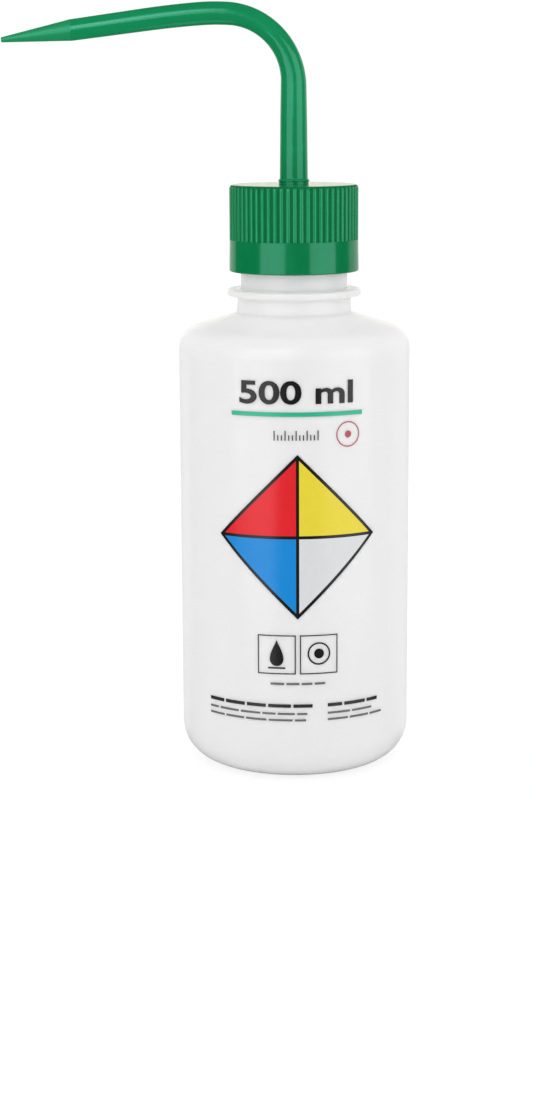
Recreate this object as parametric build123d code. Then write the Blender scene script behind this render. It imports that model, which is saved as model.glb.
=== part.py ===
from build123d import *
import math
import os

# Wash bottle of 500 ml: a blow-moulded bottle, a ribbed screw cap, a bent spout that
# swivels in the cap, a sealing ring under the cap and a dip tube in the spout's socket.
# Millimetres. +Z is up and the origin is the middle of the base. The spout points
# along -X, and the printed side of the bottle faces -Y.

# Bottle: body, shoulder and neck
BODY_R = 37.5
BODY_WALL = 1.2
BASE_WALL = 1.5
BASE_CORNER_R = 12.2
PUSH_UP_R = 21.0
PUSH_UP_H = 2.4
PUSH_UP_RUN = 3.5
PUSH_UP_CORNER_R = 3.0
STANDING_EDGE_R = 0.8
SHOULDER_TOP_Z = 142.67
SHOULDER_SLOPE = 17.0
SHOULDER_CORNER_R = 7.8
SHOULDER_WALL = 1.3
NECK_FOOT_R = 18.6
NECK_FOOT_CORNER_R = 1.2
NECK_TOP_R = 18.24
NECK_WALL = 1.6
NECK_STEP_R = 1.0

# Bottle: carrying ring and threaded finish
RING_R = 21.6
RING_LOW_Z = 153.9
RING_HIGH_Z = 156.2
RING_EDGE_R = 0.9
RING_FOOT_R = 0.7
FINISH_R = 17.2
FINISH_BORE_R = 15.6
LAND_Z = 185.9
LAND_EDGE_R = 0.5

# Screw thread, right-handed, six turns to the inch
PITCH = 25.4 / 6
THREAD_STEPS = 24
THREAD_FADE = 0.12
THREAD_BURIED = 0.35
NECK_THREAD_CREST_R = 18.7
NECK_THREAD_WIDTHS = (2.1, 0.9)
NECK_THREAD_Z = 172.4
NECK_THREAD_TURNS = 2.0
CAP_THREAD_CREST_R = 17.45
CAP_THREAD_WIDTHS = (1.6, 0.7)
CAP_THREAD_Z = NECK_THREAD_Z + PITCH / 2
CAP_THREAD_TURNS = 1.5

# Screw cap
CAP_LOW_Z = 161.8
CAP_BAND_Z = 171.9
CAP_TOP_Z = 189.4
CAP_TOP_WALL = 1.9
CAP_LOW_R = 20.9
CAP_BAND_R = 20.8
CAP_EDGE_R = 0.4
CAP_CORNER_R = 1.4
CAP_BORE_R = 18.95
CAP_SEAT_R = 18.4
CAP_SEAT_Z = 184.2
RIB_COUNT = 60
RIB_CREST_R = 20.77
RIB_FLANK_R = 20.45
RIB_ROOT_R = 20.2
RIB_SHARE = 0.65

# Spout in the cap's middle hole, held between a flange below and a collar above
RUNNING_GAP = 0.05
SPOUT_HOLE_R = 4.65
FLANGE_R = 7.0
FLANGE_T = 1.6
FLANGE_LOW_EDGE_R = 0.4
FLANGE_TOP_EDGE_R = 0.3
COLLAR_SEAT_R = 4.82
COLLAR_SEAT_H = 0.8
COLLAR_R = 5.08
COLLAR_RIM_Z = (0.95, 1.15)
COLLAR_EDGE_R = 0.08
COLLAR_H = 1.8
COLLAR_FLARE_R = 0.5
STEM_FOOT_R = 4.52
STEM_MID_R = 4.3
STEM_MID_Z = 211.0
SPOUT_WALL = 1.35
BOSS_R = 4.75
BOSS_H = 12.0
BOSS_EDGE_R = 0.4
BOSS_FOOT_R = 0.6

# Spout centreline: a tight bend, a slacker one after it, and a nearly straight arm
STEM_TOP_Z = 220.9
BEND_RADII = (22.0, 72.0, 310.0)
BEND_TURNS = (87.0, 7.4, 3.1)
ARM_EASE = 0.2
ARM_END_X = -70.4
TIP_X = -92.7

# Half sizes of the spout's section, in the plane of the bend and across it
STEM_TOP_HALF = (4.11, 4.11)
BEND_HALF = (3.63, 3.92)
BEND_HALF_SHARE = 0.4
BEND_END_HALF = (3.63, 3.76)
ARM_START_HALF = (3.66, 3.66)
ARM_MID_HALF = (3.58, 3.58)
ARM_END_HALF = (3.38, 3.38)
TIP_R = 0.8
TIP_BORE_R = 0.45
TIP_BORE_LEAD = 4.0

# Dip tube, pushed into the boss under the spout
DIP_R = 3.02
DIP_BORE_R = 2.0
DIP_SOCKET_R = 3.0
DIP_SOCKET_DEPTH = 10.5
DIP_LOW_Z = 6.0
DIP_CUT_ANGLE = 35.0
DIP_CUTTER = 24.0

# Sealing ring between the bottle's land and the cap
SEAL_R = 18.2
SEAL_BORE_R = 13.0
SEAL_T = 1.5
SEAL_EDGE_R = 0.3

# How far a cutting shape runs past the faces that it cuts through
PAST = 1.0

CAP_CEILING_Z = CAP_TOP_Z - CAP_TOP_WALL


def turned(outline, radii=None):
    """Revolve a closed outline of (radius, z) points, with a corner radius for each point."""
    radii = radii or [0] * len(outline)
    points = [(r, 0, z) for r, z in outline]
    wire = FilletPolyline(*points, radius=radii, close=True)
    return revolve(make_face(wire.edges()), Axis.Z)


def cone_z(radius, drop=0.0):
    """Height of the shoulder cone at a radius, or of a parallel cone some way inside it."""
    slope = math.radians(SHOULDER_SLOPE)
    return SHOULDER_TOP_Z + (BODY_R - radius) * math.tan(slope) - drop / math.cos(slope)


def thread(wall_r, crest_r, widths, low_z, turns):
    """A right-handed thread whose two ends fade into the wall that it stands on."""
    outwards = math.copysign(1, crest_r - wall_r)
    buried_r = wall_r - outwards * THREAD_BURIED
    steps = round(turns * THREAD_STEPS)
    sections = []
    for step in range(steps + 1):
        turn = step / THREAD_STEPS
        rise = min(1, turn / THREAD_FADE, (turns - turn) / THREAD_FADE)
        top_r = buried_r + (crest_r - buried_r) * max(rise, THREAD_FADE)
        angle = math.tau * turn
        plane = Plane(
            origin=(0, 0, low_z + PITCH * turn),
            x_dir=(math.cos(angle), math.sin(angle), 0),
            z_dir=(-math.sin(angle), math.cos(angle), 0),
        )
        foot, top = widths[0] / 2, widths[1] / 2
        corners = [(buried_r, -foot), (top_r, -top), (top_r, top), (buried_r, foot)]
        sections.append(plane * make_face(Polyline(*corners, close=True).edges()))
    return loft(sections)


def make_bottle():
    """The blow-moulded bottle, with a hollow base, a carrying ring and a threaded finish."""
    outer = turned(
        [
            (0, PUSH_UP_H),
            (PUSH_UP_R - PUSH_UP_RUN, PUSH_UP_H),
            (PUSH_UP_R, 0),
            (BODY_R, 0),
            (BODY_R, SHOULDER_TOP_Z),
            (NECK_FOOT_R, cone_z(NECK_FOOT_R)),
            (NECK_TOP_R, RING_LOW_Z),
            (RING_R, RING_LOW_Z),
            (RING_R, RING_HIGH_Z),
            (FINISH_R, RING_HIGH_Z),
            (FINISH_R, LAND_Z),
            (0, LAND_Z),
        ],
        [0, PUSH_UP_CORNER_R, STANDING_EDGE_R, BASE_CORNER_R, SHOULDER_CORNER_R]
        + [NECK_FOOT_CORNER_R, RING_FOOT_R, RING_EDGE_R, RING_EDGE_R, RING_FOOT_R]
        + [LAND_EDGE_R, 0],
    )
    inside_r = BODY_R - BODY_WALL
    neck_r = NECK_TOP_R - NECK_WALL
    inner = turned(
        [
            (0, PUSH_UP_H + BASE_WALL),
            (PUSH_UP_R - PUSH_UP_RUN, PUSH_UP_H + BASE_WALL),
            (PUSH_UP_R + BASE_WALL, BASE_WALL),
            (inside_r, BASE_WALL),
            (inside_r, cone_z(inside_r, SHOULDER_WALL)),
            (neck_r, cone_z(neck_r, SHOULDER_WALL)),
            (neck_r, RING_LOW_Z - NECK_WALL),
            (FINISH_BORE_R, RING_LOW_Z + NECK_WALL),
            (FINISH_BORE_R, LAND_Z + PAST),
            (0, LAND_Z + PAST),
        ],
        [0, PUSH_UP_CORNER_R + BASE_WALL, STANDING_EDGE_R + BASE_WALL]
        + [BASE_CORNER_R - BASE_WALL, SHOULDER_CORNER_R - SHOULDER_WALL]
        + [NECK_FOOT_CORNER_R + SHOULDER_WALL, NECK_STEP_R, NECK_STEP_R, 0, 0],
    )
    ridge = thread(
        FINISH_R, NECK_THREAD_CREST_R, NECK_THREAD_WIDTHS, NECK_THREAD_Z, NECK_THREAD_TURNS
    )
    return outer + ridge - inner


def ribbed_wall():
    """The upper part of the cap's wall, with rounded ribs that fade into its top corner."""
    step = 360 / RIB_COUNT
    flank = RIB_SHARE * step / 2

    def at(radius, angle):
        turn = math.radians(angle)
        return (radius * math.cos(turn), radius * math.sin(turn))

    edges = []
    for index in range(RIB_COUNT):
        middle = index * step
        left, right = at(RIB_FLANK_R, middle - flank), at(RIB_FLANK_R, middle + flank)
        next_left = at(RIB_FLANK_R, middle + step - flank)
        edges.append(ThreePointArc(left, at(RIB_CREST_R, middle), right))
        edges.append(ThreePointArc(right, at(RIB_ROOT_R, middle + step / 2), next_left))
    height = CAP_TOP_Z - CAP_BAND_Z
    ribs = extrude(Plane.XY.offset(CAP_BAND_Z) * make_face(edges), height)
    rounded = turned(
        [(0, CAP_BAND_Z), (RIB_CREST_R, CAP_BAND_Z), (RIB_CREST_R, CAP_TOP_Z), (0, CAP_TOP_Z)],
        [0, 0, CAP_CORNER_R, 0],
    )
    return ribs & rounded


def make_screw_cap():
    """The screw cap: a smooth band below, ribs above, a thread inside and a hole on top."""
    band = turned(
        [(0, CAP_LOW_Z), (CAP_LOW_R, CAP_LOW_Z), (CAP_BAND_R, CAP_BAND_Z), (0, CAP_BAND_Z)],
        [0, CAP_EDGE_R, 0, 0],
    )
    cavity = turned(
        [
            (0, CAP_LOW_Z - PAST),
            (CAP_BORE_R, CAP_LOW_Z - PAST),
            (CAP_BORE_R, CAP_SEAT_Z),
            (CAP_SEAT_R, CAP_SEAT_Z + CAP_BORE_R - CAP_SEAT_R),
            (CAP_SEAT_R, CAP_CEILING_Z),
            (0, CAP_CEILING_Z),
        ]
    )
    hole = Pos(0, 0, CAP_CEILING_Z) * Cylinder(
        SPOUT_HOLE_R, CAP_TOP_WALL, align=(Align.CENTER, Align.CENTER, Align.MIN)
    )
    ridge = thread(
        CAP_BORE_R, CAP_THREAD_CREST_R, CAP_THREAD_WIDTHS, CAP_THREAD_Z, CAP_THREAD_TURNS
    )
    return band + ribbed_wall() - cavity - hole + ridge


def spout_path():
    """The spout's centreline above the stem: straight runs joined by tangent arcs."""
    corners = [Vector(0, 0, STEM_MID_Z)]
    heading = 90.0
    place = Vector(0, 0, STEM_TOP_Z)
    for radius, turn in zip(BEND_RADII, BEND_TURNS):
        reach = radius * math.tan(math.radians(turn / 2))
        corner = place + direction(heading) * reach
        heading -= turn
        corners.append(corner)
        place = corner + direction(heading) * (reach + ARM_EASE)
    corners.append(place + direction(heading) * run_to(place, heading, TIP_X))
    return FilletPolyline(*corners, radius=list(BEND_RADII))


def direction(heading):
    """Unit vector in the plane of the bend, from a heading above -X in degrees."""
    turn = math.radians(heading)
    return Vector(-math.cos(turn), 0, math.sin(turn))


def run_to(place, heading, x):
    """Length of a straight run from a place to a plane across X."""
    return (x - place.X) / direction(heading).X


def section(edge, share, half):
    """An ellipse across an edge, with its first half size in the plane of the bend."""
    plane = Plane(origin=edge @ share, x_dir=(0, 1, 0), z_dir=edge % share)
    return plane * Ellipse(half[1], half[0])


def conduit(wall):
    """The stem's top, the bend and the arm as one solid, thinner all over by a wall."""

    def less(half):
        return (half[0] - wall, half[1] - wall)

    edges = spout_path().edges().sort_by(lambda edge: -edge.center().X)
    stem, bend, ease_1, slack, ease_2, slight, last = edges
    start, end = last @ 0, last @ 1
    arm = Line(start, last @ ((ARM_END_X - start.X) / (end.X - start.X)))
    stations = [
        (stem, [(0, (STEM_MID_R, STEM_MID_R)), (1, STEM_TOP_HALF)]),
        (bend, [(0, STEM_TOP_HALF), (BEND_HALF_SHARE, BEND_HALF), (1, BEND_END_HALF)]),
        (ease_1, [(0, BEND_END_HALF), (1, BEND_END_HALF)]),
        (slack, [(0, BEND_END_HALF), (1, ARM_START_HALF)]),
        (ease_2, [(0, ARM_START_HALF), (1, ARM_START_HALF)]),
        (slight, [(0, ARM_START_HALF), (1, ARM_MID_HALF)]),
        (arm, [(0, ARM_MID_HALF), (1, ARM_END_HALF)]),
    ]
    solid = None
    for edge, sizes in stations:
        faces = [section(edge, share, less(half)) for share, half in sizes]
        piece = sweep(faces, path=edge, multisection=True)
        solid = piece if solid is None else solid + piece
    return solid, Line(arm @ 1, end)


def make_spout():
    """The spout moulding: boss, flange, hub, collar, stem, bent arm and tapered tip."""
    flange_top = CAP_CEILING_Z - RUNNING_GAP
    collar_z = CAP_TOP_Z + RUNNING_GAP
    boss_z = flange_top - FLANGE_T - BOSS_H
    foot_z = collar_z + COLLAR_H
    rim_low, rim_top = (collar_z + rise for rise in COLLAR_RIM_Z)
    foot = turned(
        [
            (0, boss_z),
            (BOSS_R, boss_z),
            (BOSS_R, flange_top - FLANGE_T),
            (FLANGE_R, flange_top - FLANGE_T),
            (FLANGE_R, flange_top),
            (SPOUT_HOLE_R - RUNNING_GAP, flange_top),
            (SPOUT_HOLE_R - RUNNING_GAP, collar_z),
            (COLLAR_SEAT_R, collar_z),
            (COLLAR_SEAT_R, collar_z + COLLAR_SEAT_H),
            (COLLAR_R, rim_low),
            (COLLAR_R, rim_top),
            (STEM_FOOT_R, foot_z),
            (STEM_MID_R, STEM_MID_Z),
            (0, STEM_MID_Z),
        ],
        [0, BOSS_EDGE_R, BOSS_FOOT_R, FLANGE_LOW_EDGE_R, FLANGE_TOP_EDGE_R, 0, 0, 0]
        + [COLLAR_EDGE_R, COLLAR_EDGE_R, COLLAR_EDGE_R, COLLAR_FLARE_R, 0, 0],
    )
    arm, cone = conduit(0)
    arm_bore, cone = conduit(SPOUT_WALL)
    tip = sweep(
        [section(cone, 0, ARM_END_HALF), section(cone, 1, (TIP_R, TIP_R))],
        path=cone,
        multisection=True,
    )
    lead_share = 1 - TIP_BORE_LEAD / cone.length
    bore_r = ARM_END_HALF[0] - SPOUT_WALL
    taper = Line(cone @ 0, cone @ lead_share)
    lead = Line(cone @ lead_share, cone @ 1 + (cone % 1) * PAST)
    tip_bore = sweep(
        [section(taper, 0, (bore_r, bore_r)), section(taper, 1, (TIP_BORE_R, TIP_BORE_R))],
        path=taper,
        multisection=True,
    )
    jet = sweep(section(lead, 0, (TIP_BORE_R, TIP_BORE_R)), path=lead)
    socket_top = boss_z + DIP_SOCKET_DEPTH
    stem_bore = turned(
        [
            (0, boss_z - PAST),
            (DIP_SOCKET_R, boss_z - PAST),
            (DIP_SOCKET_R, socket_top),
            (DIP_BORE_R, socket_top),
            (DIP_BORE_R, flange_top),
            (STEM_MID_R - SPOUT_WALL, STEM_MID_Z),
            (0, STEM_MID_Z),
        ]
    )
    return foot + arm + tip - stem_bore - arm_bore - tip_bore - jet


def make_dip_tube():
    """The dip tube, from the socket down to just above the base, with a slanting end."""
    top_z = CAP_CEILING_Z - RUNNING_GAP - FLANGE_T - BOSS_H + DIP_SOCKET_DEPTH
    tube = turned(
        [(DIP_BORE_R, DIP_LOW_Z), (DIP_R, DIP_LOW_Z), (DIP_R, top_z), (DIP_BORE_R, top_z)],
    )
    slope_h = DIP_R * math.tan(math.radians(DIP_CUT_ANGLE))
    waste = Pos(0, 0, DIP_LOW_Z + slope_h) * Rot(0, DIP_CUT_ANGLE, 0) * Box(
        DIP_CUTTER, DIP_CUTTER, DIP_CUTTER, align=(Align.CENTER, Align.CENTER, Align.MAX)
    )
    return tube - waste


def make_sealing_ring():
    """The flat sealing ring that the cap presses on the bottle's land."""
    top_z = CAP_CEILING_Z - RUNNING_GAP / 2
    low_z = top_z - SEAL_T
    return turned(
        [(SEAL_BORE_R, low_z), (SEAL_R, low_z), (SEAL_R, top_z), (SEAL_BORE_R, top_z)],
        [SEAL_EDGE_R] * 4,
    )


NODES = {
    "bottle": make_bottle,
    "screw_cap": make_screw_cap,
    "spout": make_spout,
    "dip_tube": make_dip_tube,
    "sealing_ring": make_sealing_ring,
}

os.makedirs("parts", exist_ok=True)
for node, make in NODES.items():
    export_step(make(), f"parts/{node}.step")
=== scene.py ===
import math
import random

import bmesh
import bpy
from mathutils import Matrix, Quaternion, Vector


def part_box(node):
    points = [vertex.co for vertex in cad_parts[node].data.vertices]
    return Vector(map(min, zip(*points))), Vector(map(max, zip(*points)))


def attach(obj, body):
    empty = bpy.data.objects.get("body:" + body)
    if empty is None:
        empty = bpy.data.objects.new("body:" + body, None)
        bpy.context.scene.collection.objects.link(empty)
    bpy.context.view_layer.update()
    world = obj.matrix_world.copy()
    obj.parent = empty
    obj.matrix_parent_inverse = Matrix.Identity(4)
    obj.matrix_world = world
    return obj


# The looks of a 500 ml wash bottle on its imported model: moulded plastics, the printing on
# the bottle's front, a pale floor, soft lights and the camera. Metres, as the model.

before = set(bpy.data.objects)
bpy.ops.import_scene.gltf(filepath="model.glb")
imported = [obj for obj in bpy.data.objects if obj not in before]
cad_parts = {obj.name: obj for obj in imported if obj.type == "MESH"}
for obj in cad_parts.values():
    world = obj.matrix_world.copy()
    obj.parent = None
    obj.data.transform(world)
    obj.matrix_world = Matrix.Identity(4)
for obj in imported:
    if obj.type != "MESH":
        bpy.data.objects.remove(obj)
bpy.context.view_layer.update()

MM = 0.001
BOTTLE_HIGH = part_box("bottle")[1]
SPOUT_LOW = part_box("spout")[0]

# Moulded green: its colours, the painted shade in the cap's grooves and painted light on its
# crests, the painted shade on the grooves' gloss, and the shade of the tip
CAP_GREEN = (0.002, 0.185, 0.057)
SPOUT_GREEN = (0.006, 0.24, 0.086)
GREEN_SHINE = (0.42, 1.0, 0.92)
# Painted shade in the rib grooves and painted light on the rib crests
GROOVE_PAINTED_SHADE, CREST_PAINTED_LIGHT, TIP_SHADE = 0.8, 1.3, 1.12
# The grooves' shine is dimmed as painted shade on the gloss
GROOVE_SHADED_SHINE, GROOVE_DULLNESS, TIP_ROUGHNESS = 0.25, 0.5, 0.34

# Milky wall: its colour, the painted light on the neck that stands for light through its thin
# wall, and the painted shade on the carrying ring
MILK = (0.94, 0.938, 0.934)
NECK_PAINTED_LIGHT, RING_PAINTED_SHADE = 1.045, 0.8

# Where the materials change: the spout's taper, the cap's ribs and the bottle's ring
TAPER_LENGTH = 22.4 * MM
RIBS_LOW = 171.9 * MM
RIB_ROOT_R, RIB_FLANK_R, RIB_CREST_R = 20.2 * MM, 20.38 * MM, 20.72 * MM
RING_LOW, RING_HIGH, RING_INSIDE = 153.9 * MM, 156.2 * MM, 18.6 * MM

# Print: lengths in millimetres, sideways from the print's middle and up from the floor
PRINT_MIDDLE = 0.45
INK_SINK, INK_RISE, INK_LAYER = 0.05, 0.03, 0.02
INK_STEP, INK_SNAP = 1.0, 0.002
RULE_HALF = 21.6
DIAMOND_UP, DIAMOND_HALF, DIAMOND_LINE = 81.0, 26.4, 1.0
PANEL_LOW, PANEL_HIGH, PANEL_LINE = 36.6, 49.4, 0.36
PANEL_INNER, PANEL_OUTER = 0.65, 12.95
WORD_GAP = 0.75

# Light: the white seen behind, the even light on all sides and its share overhead
BACKDROP, EVEN_LIGHT, OVERHEAD = 1.02, 1.185, 0.9

# Softboxes: azimuth off the camera's side, elevation, width and height in degrees, then
# luminance, and for two of them a lean in degrees or a colour
LIGHT_DISTANCE = 1.2
WARM = (1, 0.8, 0.65)
SOFTBOXES = {
    "softbox_left": (-36, 12, (47, 64), 2.5, -14),
    "softbox_top": (-9, 24, (12, 44), 3.2),
    "softbox_right": (52.5, 4, (51, 48), 2.4),
    "backdrop": (172, 0, (118, 60), 0.7),
    "backdrop_core": (180, 4, (36, 18), 0.55, 0, WARM),
}

# Floor: how much light it sends back, and how white it looks with how much shade on it
FLOOR_REFLECTS, FLOOR_GLOW = 0.85, 0.08
FLOOR_WHITE, FLOOR_SHADE = 0.8, 0.22
FLOOR_HALF = 4.0

# Camera: where it stands, how far it looks down and leans in degrees, lens in millimetres
CAMERA_PLACE = (-0.00937, -0.7328, 0.2196)
CAMERA_DOWN, CAMERA_LEAN = 11.73, -0.285
LENS, SENSOR = 72.93, 36.0


# ---------------------------------------------------------------- shader helpers


def new_material(name):
    """A material with an empty Principled shader; returns it with its tree and shader."""
    material = bpy.data.materials.new(name)
    material.use_nodes = True
    tree = material.node_tree
    return material, tree, tree.nodes["Principled BSDF"]


def fix(node, values):
    """Set a node's inputs to fixed values, by socket name or number."""
    for key, value in values.items():
        node.inputs[key].default_value = value


def add(tree, kind, values=None, **settings):
    """A node with settings, its input values given by socket name or number."""
    node = tree.nodes.new(kind)
    for key, value in settings.items():
        setattr(node, key, value)
    fix(node, values or {})
    return node


def place(tree, scale=(1, 1, 1)):
    """The piece's own rest coordinates in metres, stretched by a scale."""
    coordinates = add(tree, "ShaderNodeTexCoord")
    mapping = add(tree, "ShaderNodeMapping", {"Scale": scale})
    tree.links.new(coordinates.outputs["Object"], mapping.inputs["Vector"])
    return mapping.outputs["Vector"]


def split(tree, vector):
    """The X, Y and Z of a vector."""
    node = add(tree, "ShaderNodeSeparateXYZ")
    tree.links.new(vector, node.inputs[0])
    return node.outputs


def noise(tree, vector, scale, detail=2.0):
    """A noise value between 0 and 1 over a vector."""
    node = add(tree, "ShaderNodeTexNoise", {"Scale": scale, "Detail": detail})
    tree.links.new(vector, node.inputs["Vector"])
    return node.outputs["Fac"]


def remap(tree, value, low, high, to_low, to_high):
    """A value remapped from one range to another, clamped, with soft ends."""
    ends = {1: low, 2: high, 3: to_low, 4: to_high}
    node = add(tree, "ShaderNodeMapRange", ends, interpolation_type="SMOOTHSTEP")
    tree.links.new(value, node.inputs[0])
    return node.outputs[0]


def tint(tree, factor, first, second):
    """A colour between two, by a factor; a colour is three numbers or a socket."""
    node = add(tree, "ShaderNodeMix", data_type="RGBA")
    tree.links.new(factor, node.inputs["Factor"])
    for name, colour in (("A", first), ("B", second)):
        if isinstance(colour, tuple):
            node.inputs[name].default_value = (*colour, 1)
        else:
            tree.links.new(colour, node.inputs[name])
    return node.outputs["Result"]


def maths(tree, operation, first, second=0.0):
    """A sum, product or other operation on two values or numbers."""
    node = add(tree, "ShaderNodeMath", operation=operation)
    for socket, value in zip(node.inputs, (first, second)):
        if isinstance(value, (int, float)):
            socket.default_value = value
        else:
            tree.links.new(value, socket)
    return node.outputs[0]


def off_axis(tree, axes):
    """The distance from the bottle's axis, from split coordinates."""
    squares = [maths(tree, "POWER", axes[axis], 2) for axis in ("X", "Y")]
    return maths(tree, "SQRT", maths(tree, "ADD", *squares))


def bump(tree, shader, height, distance):
    """Drive a shader's normal by a height value and a distance in metres."""
    node = add(tree, "ShaderNodeBump", {"Distance": distance})
    tree.links.new(height, node.inputs["Height"])
    tree.links.new(node.outputs["Normal"], shader.inputs["Normal"])


def soak(shader, depth):
    """Let light soak into a shader to a depth in metres, alike in all colours."""
    even = (1.0, 1.0, 1.0)
    fix(shader, {"Subsurface Weight": 1.0, "Subsurface Radius": even, "Subsurface Scale": depth})


def shade(colour, factor):
    """A colour made darker or lighter by a factor."""
    return tuple(min(1, channel * factor) for channel in colour)


# ---------------------------------------------------------------- materials


def milky_wall():
    """Blow-moulded milky polythene: faint waves, a mould seam, painted light on the neck and
    painted shade on the carrying ring.
    """
    material, tree, shader = new_material("milky_polythene")
    where = place(tree)
    axes = split(tree, where)
    cloud = noise(tree, where, 28)
    colour = tint(tree, remap(tree, cloud, 0.3, 0.7, 0, 1), shade(MILK, 0.985), MILK)
    # Painted light: the neck above the ring is made lighter, for light through its thin wall.
    painted_neck_light = remap(tree, axes["Z"], RING_HIGH, RING_HIGH + 0.5 * MM, 0, 1)
    colour = tint(tree, painted_neck_light, colour, shade(MILK, NECK_PAINTED_LIGHT))
    # Painted shade: the carrying ring is made greyer than the wall.
    radius = off_axis(tree, axes)
    outside = remap(tree, radius, RING_INSIDE, RING_INSIDE + 0.5 * MM, 0, 1)
    above = remap(tree, axes["Z"], RING_LOW - 0.6 * MM, RING_LOW - 0.2 * MM, 0, 1)
    painted_ring_shade = maths(tree, "MULTIPLY", outside, above)
    colour = tint(tree, painted_ring_shade, colour, shade(MILK, RING_PAINTED_SHADE))
    tree.links.new(colour, shader.inputs["Base Color"])
    grain = noise(tree, where, 900, 3)
    tree.links.new(remap(tree, grain, 0.3, 0.7, 0.33, 0.4), shader.inputs["Roughness"])
    waves = noise(tree, place(tree, (1, 1, 0.35)), 60)
    off_seam = maths(tree, "ABSOLUTE", axes["Y"])
    seam = remap(tree, off_seam, 0.05 * MM, 0.28 * MM, 1, 0)
    height = maths(tree, "ADD", maths(tree, "MULTIPLY", waves, 0.9), seam)
    height = maths(tree, "ADD", height, maths(tree, "MULTIPLY", grain, 0.05))
    bump(tree, shader, height, 0.09 * MM)
    soak(shader, 2.5 * MM)
    fix(shader, {"IOR": 1.3, "Coat Weight": 0.3, "Coat Roughness": 0.12})
    return material


def green_plastic(name, green, along, roughness, grain_scale):
    """Moulded green plastic with flow streaks along one way and a fine surface grain."""
    material, tree, shader = new_material(name)
    streak = noise(tree, place(tree, along), 350, 3)
    cloud = noise(tree, place(tree), 45)
    parts = maths(tree, "MULTIPLY", streak, 0.4), maths(tree, "MULTIPLY", cloud, 0.6)
    mixed = remap(tree, maths(tree, "ADD", *parts), 0.35, 0.65, 0, 1)
    colour = tint(tree, mixed, shade(green, 0.93), shade(green, 1.06))
    tree.links.new(colour, shader.inputs["Base Color"])
    gloss = remap(tree, streak, 0.3, 0.7, *roughness)
    tree.links.new(gloss, shader.inputs["Roughness"])
    grain = noise(tree, place(tree), grain_scale)
    height = maths(tree, "ADD", maths(tree, "MULTIPLY", grain, 0.3), streak)
    bump(tree, shader, height, 0.01 * MM)
    fix(shader, {"IOR": 1.49, "Specular Tint": (*GREEN_SHINE, 1)})
    return material, tree, shader, colour, gloss


def cap_plastic():
    """The screw cap: polypropylene with draw marks, painted light on its rib crests, and painted
    shade, a dimmed gloss colour and more roughness in its grooves.
    """
    made = green_plastic("cap_polypropylene", CAP_GREEN, (1, 1, 0.06), (0.13, 0.19), 2600)
    material, tree, shader, colour, gloss = made
    axes = split(tree, place(tree))
    radius = off_axis(tree, axes)
    # Painted light on the rib crests and painted shade in the grooves, by distance from the
    # axis.
    crest_light_mask = remap(tree, radius, RIB_FLANK_R, RIB_CREST_R, 0, 1)
    lit_and_shaded_ribs = tint(tree, crest_light_mask, shade(CAP_GREEN, GROOVE_PAINTED_SHADE), shade(CAP_GREEN, CREST_PAINTED_LIGHT))
    high = remap(tree, axes["Z"], RIBS_LOW, RIBS_LOW + 0.3 * MM, 0, 1)
    outside = remap(tree, radius, RIB_ROOT_R - 0.3 * MM, RIB_ROOT_R - 0.1 * MM, 0, 1)
    on_ribs = maths(tree, "MULTIPLY", high, outside)
    tree.links.new(tint(tree, on_ribs, colour, lit_and_shaded_ribs), shader.inputs["Base Color"])
    groove_shade_mask = maths(tree, "MULTIPLY", on_ribs, maths(tree, "SUBTRACT", 1.0, crest_light_mask))
    dull = maths(tree, "ADD", gloss, maths(tree, "MULTIPLY", groove_shade_mask, GROOVE_DULLNESS))
    tree.links.new(dull, shader.inputs["Roughness"])
    # Painted shade on the gloss: the shine colour is dimmed in the grooves.
    shaded_shine = tint(tree, groove_shade_mask, GREEN_SHINE, shade(GREEN_SHINE, GROOVE_SHADED_SHINE))
    tree.links.new(shaded_shine, shader.inputs["Specular Tint"])
    return material


def spout_plastic():
    """The spout: a glossy tube, with a tip lighter and duller from where its taper starts."""
    made = green_plastic("spout_polythene", SPOUT_GREEN, (0.05, 1, 1), (0.12, 0.17), 2200)
    material, tree, shader, colour, gloss = made
    taper_x = SPOUT_LOW.x + TAPER_LENGTH
    along = split(tree, place(tree))["X"]
    on_tip = remap(tree, along, taper_x - 0.4 * MM, taper_x + 0.4 * MM, 1, 0)
    colour = tint(tree, on_tip, colour, shade(SPOUT_GREEN, TIP_SHADE))
    tree.links.new(colour, shader.inputs["Base Color"])
    blend = add(tree, "ShaderNodeMix", {"B": TIP_ROUGHNESS}, data_type="FLOAT")
    tree.links.new(on_tip, blend.inputs["Factor"])
    tree.links.new(gloss, blend.inputs["A"])
    tree.links.new(blend.outputs["Result"], shader.inputs["Roughness"])
    return material


def natural_tube():
    """The dip tube: extruded natural polythene, milky and smooth along its length."""
    material, tree, shader = new_material("natural_polythene")
    streak = noise(tree, place(tree, (1, 1, 0.03)), 900)
    colour = tint(tree, streak, (0.86, 0.87, 0.86), (0.94, 0.95, 0.94))
    tree.links.new(colour, shader.inputs["Base Color"])
    tree.links.new(remap(tree, streak, 0.3, 0.7, 0.22, 0.3), shader.inputs["Roughness"])
    bump(tree, shader, streak, 0.02 * MM)
    soak(shader, 1.0 * MM)
    return material


def seal_foam():
    """The sealing ring: closed-cell polythene foam with a pebbly skin."""
    material, tree, shader = new_material("seal_foam")
    cells = add(tree, "ShaderNodeTexVoronoi", {"Scale": 3200})
    tree.links.new(place(tree), cells.inputs["Vector"])
    pebble = cells.outputs["Distance"]
    colour = tint(tree, pebble, (0.8, 0.8, 0.77), (0.9, 0.9, 0.88))
    tree.links.new(colour, shader.inputs["Base Color"])
    tree.links.new(remap(tree, pebble, 0, 0.6, 0.55, 0.75), shader.inputs["Roughness"])
    bump(tree, shader, pebble, 0.04 * MM)
    return material


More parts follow.
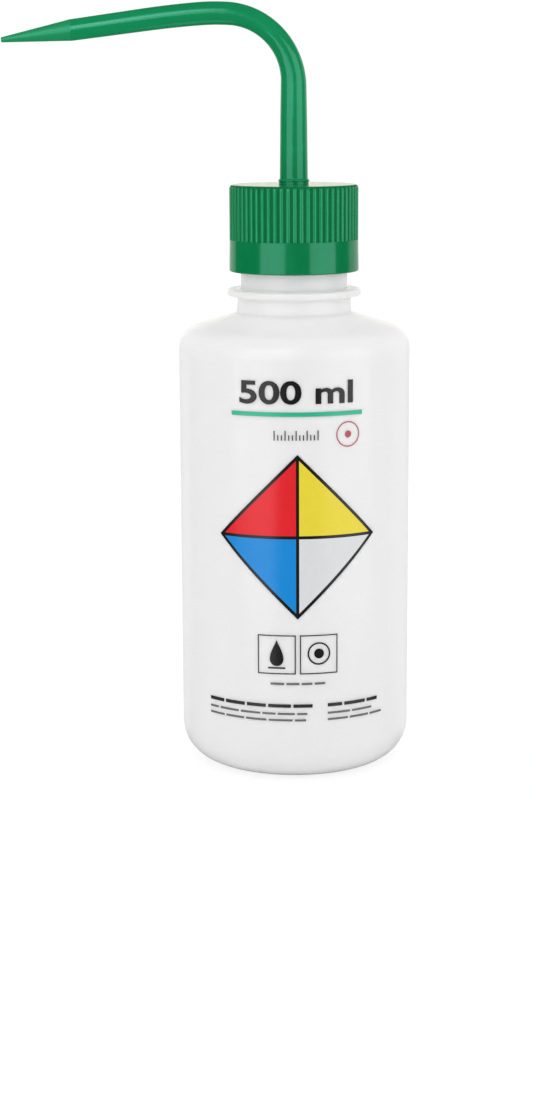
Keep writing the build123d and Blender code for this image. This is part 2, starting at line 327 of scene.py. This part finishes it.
def ink(name, colour):
    """Screen-printed ink: an even film with faint mesh marks and slight thin spots."""
    material, tree, shader = new_material(name)
    thin = remap(tree, noise(tree, place(tree), 260, 3), 0.35, 0.75, 0, 1)
    tree.links.new(tint(tree, thin, colour, shade(colour, 1.03)), shader.inputs["Base Color"])
    mesh = noise(tree, place(tree), 3800, 1)
    tree.links.new(remap(tree, mesh, 0.3, 0.7, 0.22, 0.27), shader.inputs["Roughness"])
    bump(tree, shader, mesh, 0.006 * MM)
    fix(shader, {"Specular IOR Level": 0.3})
    return material


# ---------------------------------------------------------------- printing on the bottle


def flat_mesh(data, name):
    """The flat filled mesh of a curve or text, as a bmesh in its own units."""
    obj = bpy.data.objects.new(name, data)
    bpy.context.scene.collection.objects.link(obj)
    bpy.context.view_layer.update()
    evaluated = obj.evaluated_get(bpy.context.evaluated_depsgraph_get())
    mesh = bpy.data.meshes.new_from_object(evaluated)
    flat = bmesh.new()
    flat.from_mesh(mesh)
    bpy.data.objects.remove(obj)
    bpy.data.meshes.remove(mesh)
    bmesh.ops.remove_doubles(flat, verts=flat.verts, dist=1e-4)
    return flat


def filled(loops, name):
    """Closed loops of (across, up) points, filled; a loop inside another cuts a hole."""
    curve = bpy.data.curves.new(name, "CURVE")
    curve.dimensions = "2D"
    curve.fill_mode = "FRONT"
    for loop in loops:
        spline = curve.splines.new("POLY")
        spline.points.add(len(loop) - 1)
        for point, (across, up) in zip(spline.points, loop):
            point.co = (across, up, 0, 1)
        spline.use_cyclic_u = True
    return flat_mesh(curve, name)


def rolled(flat, name, material, layer=0):
    """Wrap a flat print round the bottle's front as a thin closed film of ink."""
    reach = [v.co.x for v in flat.verts]
    step = math.floor(min(reach) / INK_STEP) * INK_STEP
    while step < max(reach):
        plane = {"plane_co": (step, 0, 0), "plane_no": (1, 0, 0), "dist": INK_SNAP}
        geometry = flat.verts[:] + flat.edges[:] + flat.faces[:]
        bmesh.ops.bisect_plane(flat, geom=geometry, **plane)
        step += INK_STEP
    bmesh.ops.dissolve_degenerate(flat, dist=INK_SNAP, edges=flat.edges)
    flat.verts.index_update()
    flat.verts.ensure_lookup_table()
    radius = BOTTLE_HIGH.x / MM
    points = []
    for level in (radius - INK_SINK, radius + INK_RISE + layer * INK_LAYER):
        for vert in flat.verts:
            turn = (vert.co.x + PRINT_MIDDLE) / radius
            point = (level * math.sin(turn), -level * math.cos(turn), vert.co.y)
            points.append([value * MM for value in point])
    count = len(flat.verts)
    faces = []
    for face in flat.faces:
        ring = [v.index for v in face.verts]
        if face.normal.z < 0:
            ring.reverse()
        faces.append([count + index for index in ring])
        faces.append(ring[::-1])
        for first, second in zip(ring, ring[1:] + ring[:1]):
            edge = flat.edges.get((flat.verts[first], flat.verts[second]))
            if len(edge.link_faces) == 1:
                faces.append([first, second, count + second, count + first])
    flat.free()
    mesh = bpy.data.meshes.new(name)
    mesh.from_pydata(points, [], faces)
    mesh.materials.append(material)
    obj = bpy.data.objects.new(name, mesh)
    bpy.context.scene.collection.objects.link(obj)
    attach(obj, "bottle")


def bar(left, right, low, high):
    """A rectangle as one loop."""
    return [(left, low), (right, low), (right, high), (left, high)]


def outline(left, right, low, high, line):
    """A rectangle drawn as a line, as two loops."""
    inside = bar(left + line, right - line, low + line, high - line)
    return [bar(left, right, low, high), inside]


def circle(across, up, radius, steps=72):
    """A circle as one loop."""
    turns = [math.tau * index / steps for index in range(steps)]
    return [(across + radius * math.cos(turn), up + radius * math.sin(turn)) for turn in turns]


def droplet(across, up, radius, steps=40):
    """A plain drop, round below and pointed on top, as one loop."""
    loop = []
    for index in range(steps):
        turn = math.tau * index / steps
        side = radius * math.sin(turn) * math.sin(turn / 2) ** 1.6
        loop.append((across + side, up + radius * 1.35 * math.cos(turn)))
    return loop


def words(left, right, low, high, shortest, longest, seed):
    """A line of plain bars with gaps, where the real print has words."""
    draw = random.Random(seed)
    loops = []
    start = left
    while start < right - shortest:
        end = min(right, start + draw.uniform(shortest, longest))
        loops.append(bar(start, end, low, high))
        start = end + WORD_GAP
    return loops


def scale_marks(middle, half, low, short, tall, step, stroke):
    """A row of level marks as on a measure, with every third one taller."""
    loops = []
    count = round(half / step)
    for index in range(-count, count + 1):
        across = middle + index * step
        rise = short if index % 3 else tall
        loops.append(bar(across - stroke / 2, across + stroke / 2, low, low + rise))
    return loops


def lettering(text, width, tall, middle, low, weight, name):
    """Generic text in the built-in face, fitted to a width and a height."""
    data = bpy.data.curves.new(name, "FONT")
    data.body = text
    data.size = 10
    data.offset = weight
    data.fill_mode = "FRONT"
    data.resolution_u = 6
    flat = flat_mesh(data, name)
    across = [v.co.x for v in flat.verts]
    up = [v.co.y for v in flat.verts]
    scale_x = width / (max(across) - min(across))
    scale_y = tall / (max(up) - min(up))
    for vert in flat.verts:
        vert.co.x = (vert.co.x - (max(across) + min(across)) / 2) * scale_x + middle
        vert.co.y = (vert.co.y - min(up)) * scale_y + low
    return flat


def print_diamond(black):
    """A plain diamond with a black line, parted upright and level into four colours."""
    up, half = DIAMOND_UP, DIAMOND_HALF
    base = [(0, up - half), (half, up), (0, up + half), (-half, up)]
    rolled(filled([base], "print_diamond"), "print_diamond", black)
    corner = DIAMOND_LINE / 2
    reach = half - DIAMOND_LINE * math.sqrt(2) - corner
    for name, side, rise, colour in (
        ("print_red", -1, 1, (0.70, 0.010, 0.017)),
        ("print_yellow", 1, 1, (0.74, 0.61, 0.035)),
        ("print_blue", -1, -1, (0.002, 0.225, 0.62)),
        ("print_pale", 1, -1, (0.65, 0.655, 0.67)),
    ):
        shape = ((corner, corner), (reach, corner), (corner, reach))
        field = [(side * across, up + rise * above) for across, above in shape]
        rolled(filled([field], name), name, ink(name + "_ink", colour), 1)


def print_front():
    """Everything printed on the front: a volume, a rule, marks, the diamond and two panels."""
    black = ink("ink_black", (0.010, 0.009, 0.010))
    dark = ink("ink_dark", (0.03, 0.03, 0.032))
    grey = ink("ink_grey", (0.14, 0.14, 0.142))
    mint = ink("ink_mint", (0.02, 0.43, 0.245))
    crimson = ink("ink_crimson", (0.42, 0.06, 0.08))

    title = lettering("500 ml", 37.0, 7.4, -0.3, 123.2, 0.22, "print_title")
    rolled(title, "print_title", black)
    rule = bar(-RULE_HALF, RULE_HALF, 119.4, 120.75)
    rolled(filled([rule], "print_rule"), "print_rule", mint)
    marks = scale_marks(-0.4, 6.9, 111.9, 1.7, 3.1, 1.15, 0.34)
    rolled(filled(marks, "print_marks"), "print_marks", dark)
    ring = [circle(16.5, 113.4, 4.05), circle(16.5, 113.4, 3.68), circle(16.5, 113.4, 1.1)]
    rolled(filled(ring, "print_ring"), "print_ring", crimson)

    print_diamond(black)

    panels = outline(-PANEL_OUTER, -PANEL_INNER, PANEL_LOW, PANEL_HIGH, PANEL_LINE)
    panels += outline(PANEL_INNER, PANEL_OUTER, PANEL_LOW, PANEL_HIGH, PANEL_LINE)
    rolled(filled(panels, "print_panels"), "print_panels", dark)
    drop = [droplet(-6.8, 43.6, 3.2), bar(-9.6, -4.0, 38.4, 38.9)]
    rolled(filled(drop, "print_drop"), "print_drop", black)
    rings = [circle(6.8, 43.3, 3.7), circle(6.8, 43.3, 3.2), circle(6.8, 43.3, 1.6)]
    rolled(filled(rings, "print_rings"), "print_rings", black)

    heads = words(-31.5, 4.7, 25.6, 26.7, 5, 9, 3) + words(9.7, 32.0, 25.6, 26.7, 4, 8, 8)
    rolled(filled(heads, "print_headings"), "print_headings", dark)
    lines = words(-31.5, 3.0, 23.2, 23.85, 3, 8, 1) + words(-31.5, 2.6, 21.1, 21.75, 3, 8, 5)
    lines += words(9.7, 29.5, 23.2, 23.85, 3, 8, 2) + words(9.7, 30.5, 21.1, 21.75, 3, 8, 6)
    lines += words(-8.8, 8.8, 33.1, 33.8, 3, 6, 9)
    rolled(filled(lines, "print_lines"), "print_lines", grey)


# ---------------------------------------------------------------- stage, light and camera


def seen_directly(tree):
    """1 where a ray comes straight from the camera, else 0."""
    return add(tree, "ShaderNodeLightPath").outputs["Is Camera Ray"]


def make_floor():
    """A plain floor: white to the eye with a faint shade round the base, pale to the light."""
    mesh = bpy.data.meshes.new("floor")
    corners = [(*corner, 0) for corner in bar(-FLOOR_HALF, FLOOR_HALF, -FLOOR_HALF, FLOOR_HALF)]
    mesh.from_pydata(corners, [], [(0, 1, 2, 3)])
    material, tree, shader = new_material("floor_pale")
    fix(shader, {"Specular IOR Level": 0, "Emission Color": (1, 1, 1, 1)})
    seen = seen_directly(tree)
    pale, faint = (FLOOR_REFLECTS,) * 3, (FLOOR_SHADE,) * 3
    tree.links.new(tint(tree, seen, pale, faint), shader.inputs["Base Color"])
    glow = remap(tree, seen, 0, 1, FLOOR_GLOW, FLOOR_WHITE)
    tree.links.new(glow, shader.inputs["Emission Strength"])
    mesh.materials.append(material)
    floor = bpy.data.objects.new("floor", mesh)
    floor.visible_glossy = False
    bpy.context.scene.collection.objects.link(floor)


def make_world():
    """A white studio to the eye, whose even light falls on everything but shows in no gloss."""
    world = bpy.data.worlds.new("studio")
    world.use_nodes = True
    tree = world.node_tree
    background = tree.nodes["Background"]
    towards = split(tree, add(tree, "ShaderNodeTexCoord").outputs["Generated"])
    even = remap(tree, towards["Z"], 0.2, 1, EVEN_LIGHT, EVEN_LIGHT * OVERHEAD)
    choose = add(tree, "ShaderNodeMix", {"B": BACKDROP}, data_type="FLOAT")
    tree.links.new(seen_directly(tree), choose.inputs["Factor"])
    tree.links.new(even, choose.inputs["A"])
    tree.links.new(choose.outputs["Result"], background.inputs["Strength"])
    background.inputs["Color"].default_value = (1, 1, 1, 1)
    world.cycles_visibility.glossy = False
    bpy.context.scene.world = world


def softbox(name, azimuth, elevation, spread, luminance, lean=0, colour=(1, 1, 1)):
    """A soft area light aimed at the bottle's top, which shows in gloss only."""
    target = Vector((0, 0, BOTTLE_HIGH.z))
    turn, rise = math.radians(azimuth), math.radians(elevation)
    level = math.cos(rise)
    away = Vector((math.sin(turn) * level, -math.cos(turn) * level, math.sin(rise)))
    light = bpy.data.lights.new(name, "AREA")
    light.shape = "RECTANGLE"
    halves = [math.tan(math.radians(angle / 2)) for angle in spread]
    light.size, light.size_y = (2 * LIGHT_DISTANCE * half for half in halves)
    light.energy = luminance * math.pi * light.size * light.size_y
    light.color = colour
    obj = bpy.data.objects.new(name, light)
    obj.location = target + away * LIGHT_DISTANCE
    obj.rotation_mode = "QUATERNION"
    lean_turn = Quaternion((0, 0, 1), math.radians(lean))
    obj.rotation_quaternion = away.to_track_quat("Z", "Y") @ lean_turn
    obj.visible_camera = False
    obj.visible_diffuse = False
    bpy.context.scene.collection.objects.link(obj)


def make_camera():
    """The camera before the bottle, a little above it, looking down and leaning a touch."""
    data = bpy.data.cameras.new("camera")
    data.sensor_width = SENSOR
    data.lens = LENS
    data.clip_start, data.clip_end = 0.05, 100
    camera = bpy.data.objects.new("camera", data)
    camera.location = CAMERA_PLACE
    camera.rotation_mode = "QUATERNION"
    tilt = Quaternion((1, 0, 0), math.radians(90 - CAMERA_DOWN))
    camera.rotation_quaternion = tilt @ Quaternion((0, 0, 1), math.radians(CAMERA_LEAN))
    bpy.context.scene.collection.objects.link(camera)
    bpy.context.scene.camera = camera


MATERIALS = {
    "bottle": milky_wall,
    "screw_cap": cap_plastic,
    "spout": spout_plastic,
    "dip_tube": natural_tube,
    "sealing_ring": seal_foam,
}
for node, make in MATERIALS.items():
    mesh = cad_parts[node].data
    mesh.materials.clear()
    mesh.materials.append(make())

print_front()
make_floor()
make_world()
for name, settings in SOFTBOXES.items():
    softbox(name, *settings)
make_camera()
bpy.context.scene.view_settings.view_transform = "Standard"
